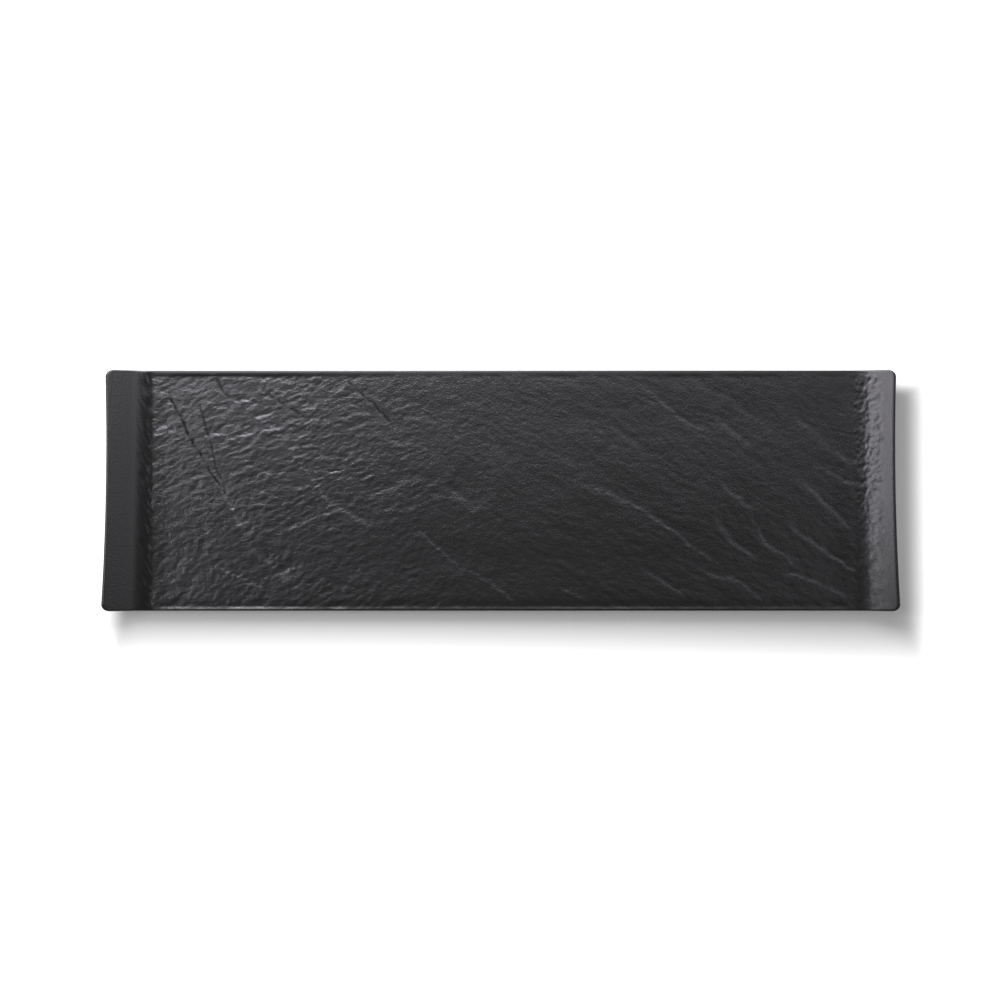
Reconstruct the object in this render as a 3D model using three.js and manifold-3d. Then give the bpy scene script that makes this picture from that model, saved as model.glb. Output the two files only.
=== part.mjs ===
// A long rectangular serving plate in black slate-look porcelain. Its two short ends curl up as grips,
// its top face holds a sunk slate-textured field inside a narrow smooth rim, and it stands on four
// silicone pads, each glued into a round pocket in the underside.
//
// Millimetres, +Z up. The origin lies on the table under the middle of the plate, +X runs along the
// plate and -Y is its front.
import * as THREE from 'three';
import { mergeVertices } from 'three/addons/utils/BufferGeometryUtils.js';
import Module from 'manifold-3d';

// The plate in plan
const FRONT_LENGTH = 400.5; // along the front edge, to its corners before they are rounded
const BACK_LENGTH = 396; // along the back edge, likewise
const WIDTH = 121; // front edge to back edge
const WAIST_DEPTH = 1.4; // how far the middle of each end is drawn in from its corners
const CORNER_RADIUS = 3.7;

// The plate in section
const FLOOR_THICKNESS = 6.5;
const TIP_THICKNESS = 2.8; // the curled ends thin towards their tips
const BEND_RADIUS = 22; // of the top face, where the floor turns up
const RAMP_ANGLE = THREE.MathUtils.degToRad(24); // slope of the top face from the bend to the tip
const RAMP_LENGTH = 12.7; // along that slope
const TIP_EDGE_ROUND = 1; // of the upright tip, above and below
const EDGE_ROUND = 0.6; // along the front and back edges

// The sunk field
const FIELD_DEPTH = 0.5;
const FIELD_RUN_OUT = 10; // length over which the field rises to the floor before each curl
const RIM_WIDTH = 2.2; // smooth border along the front and back

// The pads and what holds them
const PAD_RADIUS = 6;
const PAD_HEIGHT = 2.4;
const PAD_EDGE_ROUND = 0.6; // round the foot of the pad
const PAD_STANDS_OUT = 1.5; // below the underside of the plate
const GLUE_THICKNESS = 0.3;
const POCKET_CLEARANCE = 0.4; // all round the pad
const PAD_FROM_CURL = 20; // pad centre to where the flat underside ends
const PAD_FROM_SIDE = 22; // pad centre to the front or back edge

// How finely the round shapes are cut into flats
const BEND_STEPS = 8;
const TIP_STEPS = 4; // to each of the tip's two rounds
const WIDTH_STEPS = 16;
const EDGE_STEPS = 4;
const PAD_SIDES = 40;
const PAD_EDGE_STEPS = 3;

const HALF_LENGTH = (FRONT_LENGTH + BACK_LENGTH) / 4; // of the plate's mean length
const UNDERSIDE = PAD_STANDS_OUT;
const FLOOR_TOP = UNDERSIDE + FLOOR_THICKNESS;
const TIP_ROUND = Math.min(TIP_EDGE_ROUND, 0.45 * TIP_THICKNESS); // what the wall has room for
const TIP_FACE = (TIP_THICKNESS - 2 * TIP_ROUND) / Math.cos(RAMP_ANGLE); // upright, between the two rounds
const BEND_LENGTH = BEND_RADIUS * RAMP_ANGLE; // along the top face
const BEND_RUN = BEND_RADIUS * Math.sin(RAMP_ANGLE); // the same, level
const CURL_START =
  HALF_LENGTH - TIP_ROUND * (1 + Math.sin(RAMP_ANGLE)) - BEND_RUN - RAMP_LENGTH * Math.cos(RAMP_ANGLE);
const ROUNDED_EDGE = Math.min(EDGE_ROUND, 0.9 * TIP_ROUND); // no rounder than the tip's own rounds allow
const POCKET_ROOF = GLUE_THICKNESS + PAD_HEIGHT;

const wasm = await Module();
wasm.setup();

// A closed geometry as a solid that can be cut.
function solidOf(geometry) {
  const bare = geometry.clone();
  bare.deleteAttribute('normal');
  bare.deleteAttribute('uv');
  const merged = mergeVertices(bare);
  return new wasm.Manifold(
    new wasm.Mesh({
      numProp: 3,
      vertProperties: merged.getAttribute('position').array,
      triVerts: new Uint32Array(merged.getIndex().array),
    }),
  );
}

// The surface of a cut solid.
function geometryOf(solid) {
  const { vertProperties, triVerts } = solid.getMesh();
  const geometry = new THREE.BufferGeometry();
  geometry.setAttribute('position', new THREE.BufferAttribute(vertProperties, 3));
  geometry.setIndex(new THREE.BufferAttribute(triVerts, 1));
  geometry.computeVertexNormals();
  return geometry;
}

// One end of the plate's long section, from where the underside starts to rise, round the tip, to where
// the top face comes down to the floor again. The wall is measured square to the top face.
function curledEnd() {
  const top = [];
  const under = [];
  const addStation = (angle, rampDone) => {
    const square = new THREE.Vector2(Math.sin(angle), -Math.cos(angle));
    const uphill = new THREE.Vector2(Math.cos(angle), Math.sin(angle));
    const face = new THREE.Vector2(CURL_START, FLOOR_TOP + BEND_RADIUS)
      .addScaledVector(square, BEND_RADIUS)
      .addScaledVector(uphill, rampDone);
    const share = (BEND_RADIUS * angle + rampDone) / (BEND_LENGTH + RAMP_LENGTH);
    const wall = THREE.MathUtils.lerp(FLOOR_THICKNESS, TIP_THICKNESS, share);
    top.push(face);
    under.push(face.clone().addScaledVector(square, wall));
  };
  for (let i = 0; i <= BEND_STEPS; i++) {
    addStation((RAMP_ANGLE * i) / BEND_STEPS, 0);
  }
  addStation(RAMP_ANGLE, RAMP_LENGTH);
  under.pop(); // the tip's lower round takes its place
  const upperRound = top
    .at(-1)
    .clone()
    .addScaledVector(new THREE.Vector2(Math.sin(RAMP_ANGLE), -Math.cos(RAMP_ANGLE)), TIP_ROUND);
  const lowerRound = new THREE.Vector2(upperRound.x, upperRound.y - TIP_FACE);
  const tip = [];
  const addRound = (centre, from, to) => {
    for (let i = 0; i <= TIP_STEPS; i++) {
      const angle = THREE.MathUtils.lerp(from, to, i / TIP_STEPS);
      tip.push(new THREE.Vector2(Math.cos(angle), Math.sin(angle)).multiplyScalar(TIP_ROUND).add(centre));
    }
  };
  addRound(lowerRound, RAMP_ANGLE - Math.PI / 2, 0);
  addRound(upperRound, 0, RAMP_ANGLE + Math.PI / 2);
  tip.pop(); // it is the end of the ramp
  return [...under, ...tip, ...top.reverse()];
}

// How far the plate reaches from its middle, along the line at this distance behind its centre.
function reach(y) {
  const across = y / (WIDTH / 2);
  const straight = THREE.MathUtils.lerp(FRONT_LENGTH, BACK_LENGTH, (1 + across) / 2) / 2;
  return straight - WAIST_DEPTH * (1 - across ** 2);
}

// How much of that the rounded corner takes away.
function cornerCut(y) {
  const intoCorner = Math.max(0, Math.abs(y) - (WIDTH / 2 - CORNER_RADIUS));
  return CORNER_RADIUS - Math.sqrt(Math.max(0, CORNER_RADIUS ** 2 - intoCorner ** 2));
}

// Height of the top face at this distance from the middle.
function topFace(x) {
  const intoBend = THREE.MathUtils.clamp(x - CURL_START, 0, BEND_RUN);
  const intoRamp = Math.max(0, x - CURL_START - BEND_RUN);
  const inBend = BEND_RADIUS - Math.sqrt(BEND_RADIUS ** 2 - intoBend ** 2);
  return FLOOR_TOP + inBend + intoRamp * Math.tan(RAMP_ANGLE);
}

// The plate before its field and pockets are cut: the long section swept across the width with its front
// and back edges rounded, then each curl drawn in or out to the ends' outline in plan. At a rounded corner
// the tip slides back down the ramp, so that the ramp runs on unbent.
function plateBlank() {
  const right = curledEnd();
  const left = right.map(({ x, y }) => new THREE.Vector2(-x, y)).reverse();
  const blank = new THREE.ExtrudeGeometry(new THREE.Shape([...right, ...left]), {
    depth: WIDTH - 2 * ROUNDED_EDGE,
    steps: WIDTH_STEPS,
    bevelThickness: ROUNDED_EDGE,
    bevelSize: ROUNDED_EDGE,
    bevelOffset: -ROUNDED_EDGE,
    bevelSegments: EDGE_STEPS,
  });
  blank.rotateX(Math.PI / 2).translate(0, WIDTH / 2 - ROUNDED_EDGE, 0);
  const points = blank.getAttribute('position');
  for (let i = 0; i < points.count; i++) {
    const x = Math.abs(points.getX(i));
    const alongCurl = Math.max(0, x - CURL_START) / (HALF_LENGTH - CURL_START);
    const drawnIn = (HALF_LENGTH - reach(points.getY(i))) * alongCurl;
    const cut = cornerCut(points.getY(i)) * alongCurl;
    points.setX(i, Math.sign(points.getX(i)) * (x - drawnIn - cut));
    points.setZ(i, points.getZ(i) + topFace(x - cut) - topFace(x));
  }
  return blank;
}

// The room above the field: its long section, with a ramp at each end, swept between the two rims.
function fieldRoom() {
  const headroom = BEND_RADIUS;
  const section = new THREE.Shape()
    .moveTo(FIELD_RUN_OUT - CURL_START, FLOOR_TOP - FIELD_DEPTH)
    .lineTo(CURL_START - FIELD_RUN_OUT, FLOOR_TOP - FIELD_DEPTH)
    .lineTo(CURL_START, FLOOR_TOP)
    .lineTo(CURL_START, FLOOR_TOP + headroom)
    .lineTo(-CURL_START, FLOOR_TOP + headroom)
    .lineTo(-CURL_START, FLOOR_TOP);
  const width = WIDTH - 2 * RIM_WIDTH;
  const room = new THREE.ExtrudeGeometry(section, { depth: width, bevelEnabled: false });
  return room.rotateX(Math.PI / 2).translate(0, width / 2, 0);
}

// A round pocket in the underside, open downwards.
function pocketRoom(centre) {
  const radius = PAD_RADIUS + POCKET_CLEARANCE;
  const room = new THREE.CylinderGeometry(radius, radius, 2 * POCKET_ROOF, PAD_SIDES);
  return room.rotateX(Math.PI / 2).translate(centre.x, centre.y, 0);
}

// A pad: a low disc whose lower edge is rounded, standing on the table.
function padGeometry() {
  const profile = [new THREE.Vector2(0, 0)];
  for (let i = 0; i <= PAD_EDGE_STEPS; i++) {
    const angle = -Math.PI / 2 + (Math.PI / 2) * (i / PAD_EDGE_STEPS);
    const arm = new THREE.Vector2(Math.cos(angle), Math.sin(angle)).multiplyScalar(PAD_EDGE_ROUND);
    profile.push(arm.add(new THREE.Vector2(PAD_RADIUS - PAD_EDGE_ROUND, PAD_EDGE_ROUND)));
  }
  profile.push(new THREE.Vector2(PAD_RADIUS, PAD_HEIGHT), new THREE.Vector2(0, PAD_HEIGHT));
  return new THREE.LatheGeometry(profile, PAD_SIDES).rotateX(Math.PI / 2);
}

// A disc of double-sided adhesive, the size of the pad's flat back.
function glueGeometry() {
  const disc = new THREE.CylinderGeometry(PAD_RADIUS, PAD_RADIUS, GLUE_THICKNESS, PAD_SIDES);
  return disc.rotateX(Math.PI / 2).translate(0, 0, GLUE_THICKNESS / 2);
}

const glaze = new THREE.MeshStandardMaterial({ color: 0x29282a, roughness: 0.5, metalness: 0 });
const silicone = new THREE.MeshStandardMaterial({ color: 0x3a3a3c, roughness: 0.7, metalness: 0 });
const adhesive = new THREE.MeshStandardMaterial({ color: 0xd8d4c8, roughness: 0.6, metalness: 0 });

const padX = CURL_START - PAD_FROM_CURL;
const padY = WIDTH / 2 - PAD_FROM_SIDE;
const padPlaces = {
  front_left: new THREE.Vector3(-padX, -padY, 0),
  front_right: new THREE.Vector3(padX, -padY, 0),
  back_left: new THREE.Vector3(-padX, padY, 0),
  back_right: new THREE.Vector3(padX, padY, 0),
};

const plate = new THREE.Group();

let body = solidOf(plateBlank()).subtract(solidOf(fieldRoom()));
for (const place of Object.values(padPlaces)) {
  body = body.subtract(solidOf(pocketRoom(place)));
}
const bodyMesh = new THREE.Mesh(geometryOf(body), glaze);
bodyMesh.name = 'plate_body';
plate.add(bodyMesh);

for (const [corner, place] of Object.entries(padPlaces)) {
  const foot = new THREE.Group();
  foot.position.copy(place);
  const pad = new THREE.Mesh(padGeometry(), silicone);
  pad.name = `foot_pad_${corner}`;
  const glue = new THREE.Mesh(glueGeometry(), adhesive);
  glue.name = `adhesive_disc_${corner}`;
  glue.position.z = PAD_HEIGHT;
  foot.add(pad, glue);
  plate.add(foot);
}

export default plate;
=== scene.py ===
import math

import bmesh
import bpy
from mathutils import Matrix, Vector, noise


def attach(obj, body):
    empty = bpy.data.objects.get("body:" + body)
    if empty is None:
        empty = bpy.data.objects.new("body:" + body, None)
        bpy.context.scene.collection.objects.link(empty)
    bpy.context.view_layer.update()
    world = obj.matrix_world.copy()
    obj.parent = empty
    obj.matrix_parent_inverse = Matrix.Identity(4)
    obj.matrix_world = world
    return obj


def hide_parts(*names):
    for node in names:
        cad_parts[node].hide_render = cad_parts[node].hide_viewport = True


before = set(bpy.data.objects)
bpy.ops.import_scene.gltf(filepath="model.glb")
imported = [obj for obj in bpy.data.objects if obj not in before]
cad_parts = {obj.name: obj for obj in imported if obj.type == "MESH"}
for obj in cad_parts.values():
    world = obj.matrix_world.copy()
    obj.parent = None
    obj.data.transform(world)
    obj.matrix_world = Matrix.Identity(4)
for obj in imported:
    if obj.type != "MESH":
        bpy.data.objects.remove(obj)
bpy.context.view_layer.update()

# PLATE BODY
# One pressed and fired porcelain body under a matt black glaze: a long floor with a split-slate relief
# inside a narrow smooth rim, and two short ends that turn up as grips. Round pockets in its underside
# take the foot pads. It is modelled in millimetres and brought to metres at the end.
half_width = 60.5
front_reach = 200.25
back_reach = 198.0
waist_depth = 1.4
corner_radius = 3.7
floor_top = 8.0
underside = 1.5
tip_thickness = 2.8
bend_radius = 22.0
ramp_angle = math.radians(24)
ramp_length = 12.7
edge_round = 0.6
floor_thickness = floor_top - underside
mean_reach = (front_reach + back_reach) / 2
tip_round = 1.0
bend_run = bend_radius * math.sin(ramp_angle)
ramp_run = ramp_length * math.cos(ramp_angle)
ramp_rise = ramp_length * math.sin(ramp_angle)
tip_face = (tip_thickness - 2 * tip_round) / math.cos(ramp_angle)
curl_start = mean_reach - tip_round * (1 + math.sin(ramp_angle)) - bend_run - ramp_run

# The right half of the long section is traced at the front edge, from the middle of the floor, up the
# bend and the ramp, round the tip and back under the plate. Its mirror image closes it.
bend_steps = 14
ramp_steps = 15
tip_steps = 6
edge_steps = 5
body = bmesh.new()


def draw_to(pen, x, z):
    """Draws a straight stretch of the section and gives back its far end."""
    pen = bmesh.ops.extrude_vert_indiv(body, verts=[pen])["verts"][0]
    pen.co = (x, -half_width, z)
    return pen


def draw_arc(pen, x, z, angle, steps):
    """Draws a round stretch about a centre and gives back its far end."""
    centre = (x, -half_width, z)
    arc = bmesh.ops.spin(body, geom=[pen], cent=centre, axis=(0, 1, 0), angle=angle, steps=steps)
    return next(part for part in arc["geom_last"] if isinstance(part, bmesh.types.BMVert))


pen = bmesh.ops.create_vert(body, co=(0, -half_width, floor_top))["vert"][0]
pen = draw_to(pen, curl_start, floor_top)
pen = draw_arc(pen, curl_start, floor_top + bend_radius, -ramp_angle, bend_steps)
for step in range(ramp_steps):
    pen = draw_to(pen, pen.co.x + ramp_run / ramp_steps, pen.co.z + ramp_rise / ramp_steps)
turn = math.pi / 2 + ramp_angle
tip_x, tip_z = pen.co.x + tip_round * math.sin(ramp_angle), pen.co.z - tip_round * math.cos(ramp_angle)
pen = draw_arc(pen, tip_x, tip_z, turn, tip_steps)
pen = draw_to(pen, pen.co.x, pen.co.z - tip_face)
pen = draw_arc(pen, tip_x, tip_z - tip_face, math.pi - turn, tip_steps)
for step in reversed(range(bend_steps // 2 + 1)):
    angle = ramp_angle * step / (bend_steps // 2)
    share = bend_radius * angle / (bend_radius * ramp_angle + ramp_length)
    arm = bend_radius + floor_thickness + share * (tip_thickness - floor_thickness)
    pen = draw_to(pen, curl_start + arm * math.sin(angle), floor_top + bend_radius - arm * math.cos(angle))
pen = draw_to(pen, 0, underside)
bmesh.ops.mirror(body, geom=body.verts[:] + body.edges[:], matrix=Matrix(), merge_dist=1e-3, axis="X")

# The section is swept to the back edge, its two ends are closed, and their edges are rounded over.
swept = bmesh.ops.extrude_edge_only(body, edges=body.edges[:])["geom"]
moved = [part for part in swept if isinstance(part, bmesh.types.BMVert)]
bmesh.ops.translate(body, vec=(0, 2 * half_width, 0), verts=moved)
bmesh.ops.holes_fill(body, edges=[e for e in body.edges if e.is_boundary], sides=0)
bmesh.ops.recalc_face_normals(body, faces=body.faces[:])
sides = [f for f in body.faces if abs(f.normal.y) > 0.9]
bmesh.ops.bevel(
    body, geom=list({e for f in sides for e in f.edges}), offset=edge_round, offset_type="OFFSET",
    affect="EDGES", segments=edge_steps, profile=0.5, material=-1, clamp_overlap=False)

# The top is cut into a fine net that can carry the relief, finest where the ripples of the left half are.
net_across = 0.685
net_left = 0.81
net_right = 1.25


def long_edges(direction, keep):
    """The edges over 100 mm long that run in a direction, where the test of their middle keeps them."""
    return [
        e for e in body.edges
        if e.calc_length() > 100
        and abs((e.verts[0].co - e.verts[1].co).normalized().dot(Vector(direction))) > 0.999
        and keep((e.verts[0].co + e.verts[1].co) / 2)
    ]


across = long_edges((0, 1, 0), lambda middle: True)
cuts_across = round(2 * (half_width - edge_round) / net_across) - 1
bmesh.ops.subdivide_edges(body, edges=across, cuts=cuts_across, use_grid_fill=True)
mid_wall = (floor_top + underside) / 2
left_floor = long_edges((1, 0, 0), lambda middle: middle.z > mid_wall and middle.x < 0)
bmesh.ops.subdivide_edges(body, edges=left_floor, cuts=round(curl_start / net_left) - 1, use_grid_fill=True)
right_floor = long_edges((1, 0, 0), lambda middle: middle.z > mid_wall and middle.x > 0)
bmesh.ops.subdivide_edges(body, edges=right_floor, cuts=round(curl_start / net_right) - 1, use_grid_fill=True)

# The flat underside is opened at four round pockets: it is filled again round their lips, which turn over
# into walls, and each pocket gets a flat roof.
pad_inset = 20.0
pad_offset = 38.5
pad_places = {
    "front_left": (pad_inset - curl_start, -pad_offset),
    "front_right": (curl_start - pad_inset, -pad_offset),
    "back_left": (pad_inset - curl_start, pad_offset),
    "back_right": (curl_start - pad_inset, pad_offset),
}
pocket_sides = 48
pocket_radius = 6.4
pocket_roof = 2.7
lip_round = 0.4
lip_steps = 4
flat_under = [
    f for f in body.faces
    if f.normal.z < -0.999 and f.calc_center_median().z < underside + 0.01
]
rim_of_flat = {
    e for f in flat_under for e in f.edges
    if not all(neighbour in flat_under for neighbour in e.link_faces)
}
bmesh.ops.delete(body, geom=flat_under, context="FACES")
lips = []
for x, y in pad_places.values():
    lip = bmesh.ops.create_circle(
        body, segments=pocket_sides, radius=pocket_radius + lip_round,
        matrix=Matrix.Translation((x, y, underside)))["verts"]
    lips.append(list({e for v in lip for e in v.link_edges}))
lip_edges = [e for ring in lips for e in ring]
bmesh.ops.triangle_fill(body, use_beauty=True, edges=list(rim_of_flat) + lip_edges)
for (x, y), ring in zip(pad_places.values(), lips):
    for step in range(1, lip_steps + 2):
        turned = bmesh.ops.extrude_edge_only(body, edges=ring)["geom"]
        ring = [part for part in turned if isinstance(part, bmesh.types.BMEdge)]
        angle = min(step / lip_steps, 1) * math.pi / 2
        radius = pocket_radius + lip_round * (1 - math.sin(angle))
        height = pocket_roof if step > lip_steps else underside + lip_round * (1 - math.cos(angle))
        for v in {v for e in ring for v in e.verts}:
            arm = Vector((v.co.x - x, v.co.y - y)).normalized() * radius
            v.co = (x + arm.x, y + arm.y, height)
    bmesh.ops.holes_fill(body, edges=ring, sides=0)
bmesh.ops.recalc_face_normals(body, faces=body.faces[:])

# Split slate. Lines where a layer of the stone broke off: the slope of the break, which drops to the left
# of its course, how much paler its edge is painted (a painted highlight for the light the crest catches),
# its width before and behind that line, the length over which the ground comes back to level, and the
# course itself.
breaks = [
    (0.16, 0.30, 0.5, 0.7, 9, [(69, 55), (71, 53), (79, 46), (89, 37), (98, 32), (101, 30)]),
    (0.09, 0.12, 0.9, 0.9, 9, [(55, 32), (59, 29), (70, 21), (75, 13)]),
    (0.14, 0.32, 0.5, 0.9, 11, [
        (33, 6), (38, 4), (53, -1), (67, -8), (77, -14), (88, -21), (95, -28), (106, -35), (109, -37)]),
    (0.15, 0.42, 0.9, 0.9, 9, [(107, 38), (110, 35), (116, 30), (123, 24), (126, 21)]),
    (0.07, 0.12, 1.6, 1.6, 10, [(107, 48), (110, 47), (123, 40), (131, 35), (137, 29)]),
    (0.14, 0.35, 1.0, 0.8, 9, [(146, 38), (150, 35), (162, 25), (175, 14), (177, 12)]),
    (0.14, 0.36, 0.9, 1.0, 8, [(110, 5), (113, 2), (124, -8), (127, -11)]),
    (0.16, 0.46, 0.9, 0.7, 9, [(151, 5), (154, 2), (164, -7), (174, -17), (176, -19)]),
    (0.15, 0.36, 0.9, 0.9, 9, [(107, -13), (109, -16), (117, -26), (126, -33), (128, -35)]),
    (0.16, 0.40, 0.6, 0.6, 9, [(126, -13), (127, -16), (132, -26), (145, -35), (148, -37)]),
    (0.17, 0.45, 0.8, 0.7, 9, [(144, -17), (148, -20), (164, -31), (177, -40), (179, -41)]),
    (0.14, 0.20, 0.7, 0.9, 9, [(101, -40), (105, -42), (119, -46), (129, -53), (131, -55)]),
    (0.20, 0.30, 0.7, 0.6, 9, [(142, -41), (146, -42), (158, -46), (171, -52), (174, -54)]),
    (0.12, 0.22, 0.6, 0.5, 8, [(71, -39), (74, -41), (89, -51), (92, -53)]),
    (0.10, 0.15, 0.8, 0.8, 8, [(-7, -43), (-4, -46), (8, -57)]),
    (0.08, 0.12, 0.8, 0.8, 8, [(28, -48), (32, -50), (47, -56)]),
    (0.05, 0.10, 1.0, 1.0, 8, [(94, 58), (95, 57), (106, 50), (108, 49)]),
    (0.16, 0.25, 0.6, 0.8, 9, [(156, 13), (159, 12), (173, 5), (178, 3), (180, 2)]),
    (0.10, 0.14, 0.8, 1.3, 10, [(-114, -23), (-110, -21), (-99, -16), (-88, -12), (-84, -10)]),
    (0.12, 0.15, 0.8, 1.0, 9, [(-66, -4), (-63, -2), (-48, 4), (-45, 5)]),
    (0.12, 0.15, 0.6, 0.7, 8, [(-120, -45), (-116, -43), (-100, -38), (-96, -36)]),
    (0.10, 0.20, 0.6, 0.7, 9, [(-45, -16), (-42, -19), (-32, -29), (-22, -38), (-19, -41)]),
    (0.10, 0.15, 0.5, 0.6, 8, [(-17, -39), (-14, -41), (3, -53), (6, -55)]),
    (0.12, 0.15, 3.0, 1.0, 9, [(-28, 3), (-25, 1), (-18, -4), (-11, -11)]),
    (0.17, 0.38, 0.9, 1.0, 9, [(-107, 20), (-103, 17), (-91, 1), (-86, -6), (-69, -16), (-66, -18)]),
    (0.12, 0.20, 0.8, 0.6, 8, [(-144, -38), (-140, -40), (-121, -48), (-114, -55)]),
    (0.22, 0.50, 1.2, 1.1, 8, [(-146, 13), (-141, 4), (-137, -6), (-131, -17), (-127, -22)]),
    (0.16, 0.35, 1.0, 1.0, 8, [(-128, -27), (-119, -34), (-112, -41), (-104, -46)]),
    (0.42, 0.50, 0.6, 0.5, 3, [(-174, 30), (-169, 32), (-163, 34)]),
    (0.42, 0.50, 0.6, 0.5, 3, [(-149, 27.5), (-144, 28.2), (-138, 28.6)]),
    (0.38, 0.45, 0.6, 0.5, 3, [(-132, 27.4), (-127, 28.6), (-122, 30)]),
    (0.42, 0.50, 0.6, 0.5, 3, [(-124, 36.4), (-119, 38), (-114, 39.6)]),
    (0.42, 0.50, 0.6, 0.5, 3, [(-134, 44), (-129, 45.4), (-124, 46.6)]),
    (0.22, 0.25, 0.6, 0.5, 3, [(-86, 9.4), (-82, 10), (-77, 10.2)]),
]
# Cracks that cross the ripples of the left half: the depth of each, how dark it is, and its course.
cracks = [
    (0.22, 1.0, [
        (-168, 52), (-166, 47), (-161, 37), (-158, 30), (-153, 21), (-148, 13), (-142, 3), (-139, -2)]),
    (0.15, 0.8, [(-152, 45), (-151, 39), (-148, 31), (-143, 13), (-138, -4), (-135, -9)]),
    (0.15, 0.8, [(-145, 59), (-143, 57), (-139, 49), (-132, 46), (-129, 45)]),
    (0.14, 0.85, [(-117, 49), (-114, 47), (-99, 37), (-96, 35)]),
    (0.12, 0.9, [(-78, 56), (-75, 53), (-61, 41), (-55, 34), (-53, 31)]),
    (0.12, 0.8, [(-172, -12), (-171, -15), (-165, -28), (-163, -32)]),
]
crack_width = 0.85

# Noise drawn out into streaks makes the rest of the relief: the height of each layer, its direction in
# degrees, the length and width of its streaks, its seed and how far its crests lean.
ripple_layers = [(0.135, 16, 3.0, 1.0, 1, 0.3), (0.165, 22, 4.4, 1.6, 2, 0.35), (0.18, 20, 8, 3.6, 3, 0.35)]
leather_layers = [(0.145, 30, 2.0, 1.3, 18, 0), (0.22, 40, 4.2, 2.6, 19, 0), (0.2, 35, 9, 5.5, 20, 0)]
wrinkle_layers = [(0.07, -38, 2.6, 1.2, 4, 0), (0.085, -40, 5, 2.2, 16, 0), (0.06, -40, 11, 4.8, 21, 0)]
swell_layers = [(0.12, -38, 24, 11, 7, 0)]
right_end_layers = [(0.2, 70, 2.4, 1.1, 6, 0), (0.15, 30, 3.4, 1.6, 8, 0)]
pitting_height = 0.04

# The smooth rim round the field is narrower at the front, and the middle of the field is sunk this deep.
front_rim = 1.6
back_rim = 2.5
field_depth = 0.5


def alongside(line, x, margin):
    """Whether the point lies between the two ends of the line, give or take a margin."""
    return min(p[0] for p in line) - margin < x < max(p[0] for p in line) + margin


def off_line(line, x, y):
    """How far the point lies from the line, positive on its upper right, and how full the line is there."""
    nearest, side, place = 1e9, 1, 0
    for i, ((ax, ay), (bx, by)) in enumerate(zip(line, line[1:])):
        dx, dy = bx - ax, by - ay
        t = max(0, min(1, ((x - ax) * dx + (y - ay) * dy) / (dx * dx + dy * dy)))
        gap = math.hypot(x - ax - t * dx, y - ay - t * dy)
        if gap < nearest:
            nearest, place = gap, (i + t) / (len(line) - 1)
            side = 1 if dx * (y - ay) - dy * (x - ax) > 0 else -1
    return side * nearest, math.sin(math.pi * place)


def ease(value, low, high):
    """Rises smoothly from 0 at the low value to 1 at the high one."""
    t = max(0, min(1, (value - low) / (high - low)))
    return t * t * (3 - 2 * t)


def streaks(x, y, turn, length, width, seed, lean):
    """Noise drawn out along a direction, from about -1 to 1, its crests leaning to the left of it."""
    c, s = math.cos(math.radians(turn)), math.sin(math.radians(turn))
    along, across = (x * c + y * s) / length, (y * c - x * s) / width
    if lean:
        across -= lean * noise.noise((along, across, seed))
    return noise.noise((along, across, seed))


def relief(layers, x, y):
    """Height that the layers of streaks have together."""
    return sum(height * streaks(x, y, *pattern) for height, *pattern in layers)


def field_strength(x, y):
    """1 on the slate field, 0 on the smooth rim and ends."""
    ragged = noise.noise((x / 7, y / 4, 3))
    rim = front_rim if y < 0 else back_rim
    inside = ease(half_width - abs(y) + 0.2 * ragged, rim - 0.45, rim + 0.45)
    frayed = 2 * ragged + 1.2 * noise.noise((x / 2.4, y / 1.6, 30))
    left = ease(x, -curl_start + 1.2 + frayed, -curl_start + 3.8 + frayed)
    right = 1 - ease(x, curl_start + 10 + 3 * ragged, curl_start + 18 + 2 * ragged)
    return inside * left * right


def rippling(x, y):
    """How strongly the field is rippled, 1 on the left and 0 on the right."""
    return 1 - ease(x + 0.2 * y + 12 * noise.noise((x / 30, y / 30, 13)), -115, 40)


def calm(x, y):
    """How much the relief quietens towards the front, from 0 to 1."""
    return ease(-y + 10 * noise.noise((x / 25, y / 25, 17)), -5, 40)


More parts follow.
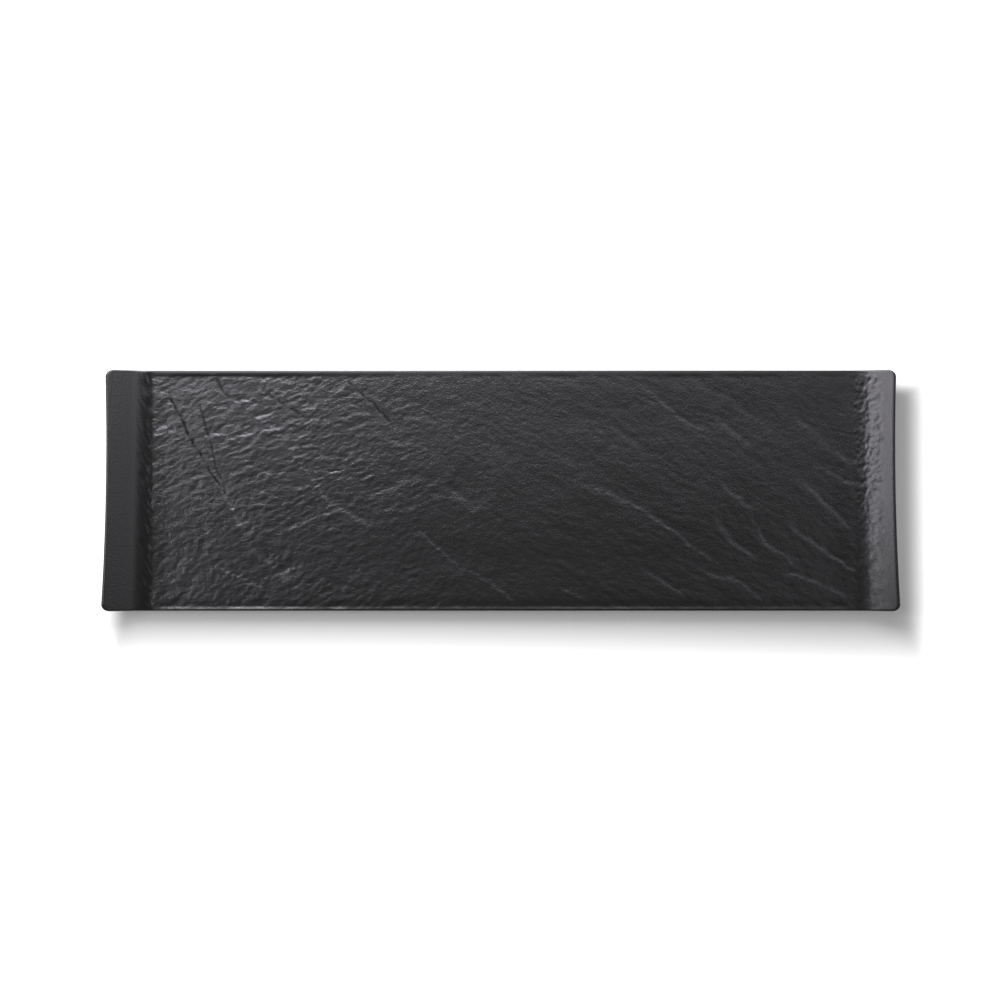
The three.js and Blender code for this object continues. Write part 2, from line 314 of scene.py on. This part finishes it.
def slate(x, y):
    """Height of the relief on the field, the painted highlight along its breaks, and how far it is cracked
    open.
    """
    wx = x + 3 * noise.noise((x / 24, y / 24, 0)) + 0.5 * noise.noise((x / 4, y / 4, 14))
    wy = y + 2 * noise.noise((x / 24, y / 24, 5)) + 0.5 * noise.noise((x / 4, y / 4, 15))
    patchy = 1 + 0.5 * noise.noise((x / 13, y / 9, 22))
    rippled = rippling(x, y)
    quiet = 0.6 * calm(x, y)
    left_half = (1 - quiet) * relief(ripple_layers, wx, wy) + quiet * relief(leather_layers, wx, wy)
    height = rippled * patchy * left_half + (1 - rippled) * relief(wrinkle_layers, wx, wy)
    height += pitting_height * noise.noise((x, y, 9)) + relief(swell_layers, wx, wy)
    on_right_end = ease(x, curl_start - 1, curl_start + 2) * (0.12 + 0.98 * ease(y, -45, 25))
    height += on_right_end * relief(right_end_layers, wx, wy)
    wx = x + 1.2 * noise.noise((x / 7, y / 7, 11)) + 0.6 * noise.noise((x / 2.2, y / 2.2, 24))
    wy = y + 1.2 * noise.noise((x / 7, y / 7, 12)) + 0.6 * noise.noise((x / 2.2, y / 2.2, 25))
    uneven = max(0, 0.6 + 1.2 * noise.noise((x / 5, y / 5, 26)) + 1.3 * noise.noise((x / 1.4, y / 1.4, 27)))
    painted_highlight = cracked = 0
    for slope, painted_highlight_strength, before, behind, run_out, line in breaks:
        if alongside(line, x, 30):
            off, full = off_line(line, wx, wy)
            if full > 0 and -3 * before < off < 4 * run_out:
                width = behind if off > 0 else before
                drop = before + width * math.erf(off / width)
                height -= 0.886 * slope * full * drop * math.exp(-max(0, off) / run_out)
                # The edge of each break is painted paler: a painted highlight for the light its crest
                # catches.
                painted_highlight += uneven * painted_highlight_strength * min(1, 2 * full) * math.exp(-((off / width) ** 2))
    for depth, darkness, line in cracks:
        if alongside(line, x, 3):
            off, full = off_line(line, wx, wy)
            ajar = max(0.5, min(1, 0.85 + 1.2 * noise.noise((x / 3.5, y / 3.5, 28))))
            width = crack_width * (0.6 + 0.6 * ajar)
            open_here = ajar * min(1, 2 * full) * math.exp(-((off / width) ** 2))
            height -= depth * open_here
            cracked = max(cracked, darkness * open_here)
    return height, painted_highlight, cracked


def sunk(x, y):
    """How far the field lies below the smooth top face, before its relief."""
    inside = half_width - abs(y)
    left = ease(-x, 30, 150)
    if y < 0:
        step = 0.085 + 0.175 * left
        gutter = 0.13 + 0.07 * left
        depth = step + gutter * (1 - ease(inside, 2.2, 6)) + (field_depth - step) * ease(inside, 4, 28)
    else:
        step = 0.06 + 0.44 * left
        depth = step + (field_depth - step) * ease(inside, 3, 28)
    return depth * (1 - ease(abs(x), curl_start - 10, curl_start))


def reach(y):
    """How far the plate reaches from its middle at this distance behind its centre."""
    share = y / half_width
    return (front_reach * (1 - share) + back_reach * (1 + share)) / 2 - waist_depth * (1 - share**2)


def corner_cut(y):
    """How much of that the rounded corner takes away."""
    into_corner = max(0, abs(y) - (half_width - corner_radius))
    return corner_radius - math.sqrt(max(0, corner_radius**2 - into_corner**2))


def top_face(x):
    """Height of the smooth top face at this distance from the middle."""
    into_bend = min(max(0, abs(x) - curl_start), bend_run)
    into_ramp = max(0, abs(x) - curl_start - bend_run)
    bend_rise = bend_radius - math.sqrt(bend_radius**2 - into_bend**2)
    return floor_top + bend_rise + into_ramp * math.tan(ramp_angle)


# The net is halved along the thin lines, and once more along the cracks, so that they stay sharp.
thin_lines = [line for _, _, before, behind, _, line in breaks if min(before, behind) < 0.85]
crack_lines = [line for _, _, line in cracks]
for lines, near in ((thin_lines + crack_lines, 1.0), (crack_lines, 0.75)):
    near_line = set()
    for v in body.verts:
        x, y, z = v.co
        if abs(z - floor_top) < 0.01 and abs(y) < half_width - edge_round:
            if any(alongside(line, x, 3) and abs(off_line(line, x, y)[0]) < near for line in lines):
                near_line.add(v)
    sharpened = [e for e in body.edges if e.verts[0] in near_line and e.verts[1] in near_line]
    bmesh.ops.subdivide_edges(body, edges=sharpened, cuts=1, use_grid_fill=True)

# Each point of the top is raised into the relief and told how the glaze lies there: "slate" is how grainy it
# is, "ripple" how streaky, the third layer how much paler the glaze is painted along a break edge, a painted
# highlight for the light its crest catches, and "dull" how matt, above 0 in a crack and below 0 in the left
# bend, where it has pooled. All points are then drawn to the outline of the plate.
strength_layer = body.verts.layers.float.new("slate")
ripple_layer = body.verts.layers.float.new("ripple")
painted_highlight_layer = body.verts.layers.float.new("painted_highlight")
dull_layer = body.verts.layers.float.new("dull")
for v in body.verts:
    x, y, z = v.co
    if abs(z - top_face(x)) < 0.01 and abs(y) < half_width - edge_round + 0.01:
        strength = field_strength(x, y)
        smooth_ramp = ease(x, curl_start, curl_start + 8)
        v[strength_layer] = max(
            0.2 + 0.8 * ease(-x, curl_start + 7, curl_start + 11),
            strength * (1 - 0.4 * calm(x, y)) * (1 - 0.7 * smooth_ramp))
        if strength > 0:
            height, painted_highlight, cracked = slate(x, y)
            v[ripple_layer] = strength * rippling(x, y)
            v[painted_highlight_layer] = strength * painted_highlight
            v[dull_layer] = strength * cracked
            v.co.z += strength * (height - sunk(x, y))
        in_bend = ease(-x, curl_start - 4, curl_start - 1) * (1 - ease(-x, curl_start - 1, curl_start + 10))
        if in_bend > 0:
            wisp = streaks(x, y, 118, 5, 1.2, 23, 0)
            v.co.z += 0.06 * in_bend * (1 - ease(abs(y), 48, 56)) * wisp
            v[dull_layer] += in_bend * (1 - strength) * max(-0.6, 0.4 * wisp - 0.42)
    along_curl = max(0, abs(x) - curl_start) / (mean_reach - curl_start)
    cut = corner_cut(y) * along_curl
    v.co.x -= math.copysign(1, x) * ((mean_reach - reach(y)) * along_curl + cut)
    v.co.z += top_face(abs(x) - cut) - top_face(x)

bmesh.ops.scale(body, vec=(0.001, 0.001, 0.001), verts=body.verts[:])
for face in body.faces:
    face.smooth = True
plate_mesh = bpy.data.meshes.new("slate_plate")
body.to_mesh(plate_mesh)
body.free()
plate = bpy.data.objects.new("slate_plate", plate_mesh)
bpy.context.collection.objects.link(plate)


def srgb(hex_code):
    """The linear colour of an sRGB hex code."""
    values = [int(hex_code[i:i + 2], 16) / 255 for i in (1, 3, 5)]
    return [c / 12.92 if c <= 0.04045 else ((c + 0.055) / 1.055) ** 2.4 for c in values] + [1]


def add_node(owner, kind, links=None, **settings):
    """Adds a node to a material or the world, with its settings and a link or a value for each socket."""
    node = owner.node_tree.nodes.new(kind)
    for name, value in settings.items():
        setattr(node, name, value)
    for socket, value in (links or {}).items():
        if isinstance(value, bpy.types.NodeSocket):
            owner.node_tree.links.new(value, node.inputs[socket])
        else:
            node.inputs[socket].default_value = value
    return node


# Matt black glaze on porcelain: a satin sheen on the smooth rim and ends, broken up on the slate by short
# streaks between the ripples, a leathery grain and a finer grit. Its colour is painted greyer along the
# break edges, a painted highlight for the light their crests catch, and it loses its sheen in the cracks.
glaze = bpy.data.materials.new("matt_black_glaze")
glaze.use_nodes = True
shader = glaze.node_tree.nodes["Principled BSDF"]
shader.inputs["IOR"].default_value = 1.52
shader.inputs["Specular Tint"].default_value = (0.95, 0.92, 1, 1)
place = add_node(glaze, "ShaderNodeTexCoord")
slate_mask = add_node(glaze, "ShaderNodeAttribute", attribute_name="slate")
painted_highlight_mask = add_node(glaze, "ShaderNodeAttribute", attribute_name="painted_highlight")
# Painted highlight: the base colour goes from the black glaze to grey along the break edges.
colour = add_node(glaze, "ShaderNodeMix", {
    "Factor": painted_highlight_mask.outputs["Fac"], "A": srgb("#151515"), "B": srgb("#3c3a3e")}, data_type="RGBA")
glaze.node_tree.links.new(colour.outputs["Result"], shader.inputs["Base Color"])
dull_mask = add_node(glaze, "ShaderNodeAttribute", attribute_name="dull")
dullness = add_node(glaze, "ShaderNodeMath", {
    0: dull_mask.outputs["Fac"], 1: 0.4, 2: 0.325}, operation="MULTIPLY_ADD")
glaze.node_tree.links.new(dullness.outputs["Value"], shader.inputs["Roughness"])
gloss = add_node(glaze, "ShaderNodeMath", {
    0: dull_mask.outputs["Fac"], 1: -0.45, 2: 0.5}, operation="MULTIPLY_ADD")
glaze.node_tree.links.new(gloss.outputs["Value"], shader.inputs["Specular IOR Level"])
ripple_mask = add_node(glaze, "ShaderNodeAttribute", attribute_name="ripple")
streak_width, streak_depth = 0.0010, 0.00003
grain_width, grain_depth = 0.0010, 0.000034
grit_width, grit_depth = 0.0005, 0.000012
turned = add_node(glaze, "ShaderNodeMapping", {
    "Vector": place.outputs["Object"], "Rotation": (0, 0, math.radians(-22)), "Scale": (0.42, 1, 1)})
streak = add_node(glaze, "ShaderNodeTexNoise", {
    "Vector": turned.outputs["Vector"], "Scale": 1 / streak_width, "Detail": 2, "Roughness": 0.5},
    normalize=False)
grain = add_node(glaze, "ShaderNodeTexNoise", {
    "Vector": place.outputs["Object"], "Scale": 1 / grain_width, "Detail": 1, "Roughness": 0.5},
    normalize=False)
grit = add_node(glaze, "ShaderNodeTexNoise", {
    "Vector": place.outputs["Object"], "Scale": 1 / grit_width, "Detail": 1, "Roughness": 0.5},
    normalize=False)
rippled = add_node(glaze, "ShaderNodeMath", {
    0: streak.outputs["Fac"], 1: ripple_mask.outputs["Fac"]}, operation="MULTIPLY")
grained = add_node(glaze, "ShaderNodeMath", {
    0: grain.outputs["Fac"], 1: slate_mask.outputs["Fac"]}, operation="MULTIPLY")
gritty = add_node(glaze, "ShaderNodeMath", {
    0: grit.outputs["Fac"], 1: slate_mask.outputs["Fac"]}, operation="MULTIPLY")
streak_bump = add_node(glaze, "ShaderNodeBump", {
    "Height": rippled.outputs["Value"], "Strength": 1.0, "Distance": streak_depth})
grain_bump = add_node(glaze, "ShaderNodeBump", {
    "Height": grained.outputs["Value"], "Strength": 1.0, "Distance": grain_depth,
    "Normal": streak_bump.outputs["Normal"]})
bump = add_node(glaze, "ShaderNodeBump", {
    "Height": gritty.outputs["Value"], "Strength": 1.0, "Distance": grit_depth,
    "Normal": grain_bump.outputs["Normal"]})
glaze.node_tree.links.new(bump.outputs["Normal"], shader.inputs["Normal"])
plate.data.materials.append(glaze)
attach(plate, "root")
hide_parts("plate_body")

# FOOT PADS
# Four silicone discs from one mould, pressed into the pockets so that the glaze never touches the table.
# A ring groove and a small dimple, the mark of the mould's gate, are left in the face they stand on.
pad_sides = 64
pad_radius = 6.0
pad_height = 2.4
foot_round = 0.6
groove_round = 0.12
pad_profile = [
    (0, 0.3), (0.8, 0.3), (1.1, 0), (2.9, 0), (3.1, 0.35), (3.7, 0.35), (3.9, 0), (pad_radius, 0),
    (pad_radius, pad_height), (0, pad_height),
]

# Silicone: dark and dull to the eye, a little shinier where it was handled, with the fine spark-eroded skin
# of its mould. That skin is drawn at 0.3 mm, coarser than the real one, which would be too fine to show.
skin_width, skin_depth = 0.0003, 0.00003
handling_width = 0.004
silicone = bpy.data.materials.new("moulded_silicone")
silicone.use_nodes = True
rubber = silicone.node_tree.nodes["Principled BSDF"]
rubber.inputs["IOR"].default_value = 1.41
place = add_node(silicone, "ShaderNodeTexCoord")
mould_skin = add_node(silicone, "ShaderNodeTexNoise", {
    "Vector": place.outputs["Object"], "Scale": 1 / skin_width, "Detail": 2})
handling = add_node(silicone, "ShaderNodeTexNoise", {
    "Vector": place.outputs["Object"], "Scale": 1 / handling_width, "Detail": 3})
tone = add_node(silicone, "ShaderNodeValToRGB", {"Fac": handling.outputs["Fac"]})
tone.color_ramp.elements[0].color = srgb("#333335")
tone.color_ramp.elements[1].color = srgb("#434346")
wear = add_node(silicone, "ShaderNodeMapRange", {
    "Value": handling.outputs["Fac"], "To Min": 0.55, "To Max": 0.75})
skin_bump = add_node(silicone, "ShaderNodeBump", {
    "Height": mould_skin.outputs["Fac"], "Strength": 0.6, "Distance": skin_depth})
silicone.node_tree.links.new(tone.outputs["Color"], rubber.inputs["Base Color"])
silicone.node_tree.links.new(wear.outputs["Result"], rubber.inputs["Roughness"])
silicone.node_tree.links.new(skin_bump.outputs["Normal"], rubber.inputs["Normal"])

for corner, (x, y) in pad_places.items():
    pad = bmesh.new()
    pen = bmesh.ops.create_vert(pad, co=(0, 0, pad_profile[0][1]))["vert"][0]
    for radius, height in pad_profile[1:]:
        pen = bmesh.ops.extrude_vert_indiv(pad, verts=[pen])["verts"][0]
        pen.co = (radius, 0, height)
    bmesh.ops.spin(
        pad, geom=pad.verts[:] + pad.edges[:], axis=(0, 0, 1), angle=2 * math.pi, steps=pad_sides,
        use_merge=True)
    bmesh.ops.remove_doubles(pad, verts=pad.verts[:], dist=0.001)
    bmesh.ops.recalc_face_normals(pad, faces=pad.faces[:])
    rings = [
        e for e in pad.edges
        if abs(e.verts[0].co.z - e.verts[1].co.z) < 0.001
        and abs(e.verts[0].co.to_2d().length - e.verts[1].co.to_2d().length) < 0.001
    ]
    foot_ring = [
        e for e in rings
        if e.verts[0].co.z < 0.01 and e.verts[0].co.to_2d().length > pad_radius - 0.01
    ]
    others = [e for e in rings if e not in foot_ring]
    bmesh.ops.bevel(
        pad, geom=foot_ring, offset=foot_round, affect="EDGES", segments=6, profile=0.5, material=-1)
    bmesh.ops.bevel(
        pad, geom=[e for e in others if e.is_valid], offset=groove_round, affect="EDGES", segments=3,
        profile=0.5, material=-1)
    bmesh.ops.translate(pad, vec=(x, y, 0), verts=pad.verts[:])
    bmesh.ops.scale(pad, vec=(0.001, 0.001, 0.001), verts=pad.verts[:])
    for face in pad.faces:
        face.smooth = True
    pad_mesh = bpy.data.meshes.new("silicone_pad_" + corner)
    pad.to_mesh(pad_mesh)
    pad.free()
    pad_object = bpy.data.objects.new("silicone_pad_" + corner, pad_mesh)
    bpy.context.collection.objects.link(pad_object)
    pad_mesh.materials.append(silicone)
    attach(pad_object, "root")
    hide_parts("foot_pad_" + corner)

# ADHESIVE DISCS
# A disc of double-sided tape between the back of each pad and the roof of its pocket. Only its cut edge could
# be seen, deep in the gap round the pad, so the plain disc stays as it is and takes the tape's own look.
# Acrylic adhesive: a cream film with a faint mottle and a soft shine.
mottle_width = 0.0015
adhesive = bpy.data.materials.new("acrylic_adhesive")
adhesive.use_nodes = True
tape = adhesive.node_tree.nodes["Principled BSDF"]
tape.inputs["IOR"].default_value = 1.47
tape.inputs["Roughness"].default_value = 0.5
place = add_node(adhesive, "ShaderNodeTexCoord")
mottle = add_node(adhesive, "ShaderNodeTexNoise", {
    "Vector": place.outputs["Object"], "Scale": 1 / mottle_width, "Detail": 2})
cream = add_node(adhesive, "ShaderNodeValToRGB", {"Fac": mottle.outputs["Fac"]})
cream.color_ramp.elements[0].color = srgb("#d0cbbd")
cream.color_ramp.elements[1].color = srgb("#e0dccf")
adhesive.node_tree.links.new(cream.outputs["Color"], tape.inputs["Base Color"])
for corner in pad_places:
    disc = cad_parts["adhesive_disc_" + corner]
    disc.data.materials.clear()
    disc.data.materials.append(adhesive)

# FLOOR
# A wide sheet of pale paper under the plate. To the camera and in reflections it is white, apart from the
# plate's own shadow, which fades out over a few centimetres to the front and the right.
floor_half = 20
floor_mesh = bpy.data.meshes.new("floor")
ground = bmesh.new()
bmesh.ops.create_grid(ground, x_segments=1, y_segments=1, size=floor_half)
ground.to_mesh(floor_mesh)
ground.free()
floor = bpy.data.objects.new("floor", floor_mesh)
bpy.context.collection.objects.link(floor)
paper = bpy.data.materials.new("white_paper")
paper.use_nodes = True
sheet = paper.node_tree.nodes["Principled BSDF"]
sheet.inputs["Base Color"].default_value = srgb("#b0b0b0")
sheet.inputs["Roughness"].default_value = 0.9
sheet.inputs["Specular IOR Level"].default_value = 0
sheet.inputs["Emission Color"].default_value = (1, 1, 1, 1)
place = add_node(paper, "ShaderNodeTexCoord")
spot = add_node(paper, "ShaderNodeSeparateXYZ", {"Vector": place.outputs["Object"]})
# On each side, the line from the middle of the plate beyond which the shadow fades, and how fast it does.
shadow_fades = [("X", 1, 0.2, 1.9), ("X", -1, 0.187, 2.6), ("Y", 1, 0.046, 3.4), ("Y", -1, 0.0605, 1)]
away = None
for axis, sign, half, pace in shadow_fades:
    gap = add_node(paper, "ShaderNodeMath", {
        0: spot.outputs[axis], 1: sign * pace, 2: -half * pace}, operation="MULTIPLY_ADD")
    away = gap if away is None else add_node(paper, "ShaderNodeMath", {
        0: away.outputs["Value"], 1: gap.outputs["Value"], 2: 0.01}, operation="SMOOTH_MAX")
whiter = add_node(paper, "ShaderNodeMapRange", {
    "Value": away.outputs["Value"], "From Min": 0.006, "From Max": 0.04, "To Min": 0.2, "To Max": 1},
    interpolation_type="SMOOTHSTEP")
path = add_node(paper, "ShaderNodeLightPath")
masked = add_node(paper, "ShaderNodeMath", {
    0: path.outputs["Is Camera Ray"], 1: whiter.outputs["Result"]}, operation="MULTIPLY")
glossy = add_node(paper, "ShaderNodeMath", {
    0: masked.outputs["Value"], 1: path.outputs["Is Glossy Ray"]}, operation="ADD")
shown = add_node(paper, "ShaderNodeMath", {
    0: glossy.outputs["Value"], 1: path.outputs["Is Transmission Ray"]}, operation="ADD", use_clamp=True)
paper.node_tree.links.new(shown.outputs["Value"], sheet.inputs["Emission Strength"])
floor.data.materials.append(paper)


# LIGHT
# Four square softboxes turned to the middle of the plate, the strongest behind its left half, so that the
# ripples there catch the light and the front right stays dark. A white sweep stands low all round.
def softbox(name, place, size, power):
    """Hangs a square softbox that faces the middle of the plate."""
    lamp = bpy.data.lights.new(name, "AREA")
    lamp.shape = "SQUARE"
    lamp.size = size
    lamp.energy = power
    lamp_object = bpy.data.objects.new(name, lamp)
    lamp_object.location = place
    lamp_object.rotation_euler = (-Vector(place)).to_track_quat("-Z", "Y").to_euler()
    bpy.context.collection.objects.link(lamp_object)


softbox("west_softbox", (-0.51, 0.025, 0.61), 0.3, 2.35)
softbox("north_west_softbox", (-0.12, 0.265, 0.29), 0.26, 2.7)
softbox("north_softbox", (0.07, 0.29, 0.48), 0.36, 0.95)
softbox("east_softbox", (0.46, 0, 0.66), 0.4, 0.5)
dim = 0.01
world = bpy.context.scene.world or bpy.data.worlds.new("world")
bpy.context.scene.world = world
world.use_nodes = True
world.node_tree.nodes["Background"].inputs["Color"].default_value = (1, 1, 1, 1)
sky = add_node(world, "ShaderNodeTexCoord")
up = add_node(world, "ShaderNodeSeparateXYZ", {"Vector": sky.outputs["Generated"]})
sweep = add_node(world, "ShaderNodeMapRange", {
    "Value": up.outputs["Z"], "From Min": 0.12, "From Max": 0.24, "To Min": 1, "To Max": dim},
    interpolation_type="SMOOTHSTEP")
seen = add_node(world, "ShaderNodeLightPath")
mirrored = add_node(world, "ShaderNodeMath", {
    0: seen.outputs["Is Camera Ray"], 1: seen.outputs["Is Glossy Ray"]}, operation="ADD")
any_way = add_node(world, "ShaderNodeMath", {
    0: mirrored.outputs["Value"], 1: seen.outputs["Is Transmission Ray"]}, operation="ADD", use_clamp=True)
backdrop = add_node(world, "ShaderNodeMath", {
    0: any_way.outputs["Value"], 1: sweep.outputs["Result"], 2: dim}, operation="MULTIPLY_ADD")
world.node_tree.links.new(backdrop.outputs["Value"], world.node_tree.nodes["Background"].inputs["Strength"])

# CAMERA
# It looks straight down from above the plate, far enough for the curled ends to spread very little, and
# takes in a square about half a metre wide near the height of the plate's tips.
tip_level = 0.0146
view_width = 0.5003
camera_data = bpy.data.cameras.new("camera")
camera = bpy.data.objects.new("camera", camera_data)
bpy.context.collection.objects.link(camera)
camera_height = 1.3
camera.location = (-0.0004, -0.0047, camera_height)
camera_data.sensor_width = 36
camera_data.lens = camera_data.sensor_width * (camera_height - tip_level) / view_width
bpy.context.scene.camera = camera
bpy.context.scene.view_settings.view_transform = "Standard"
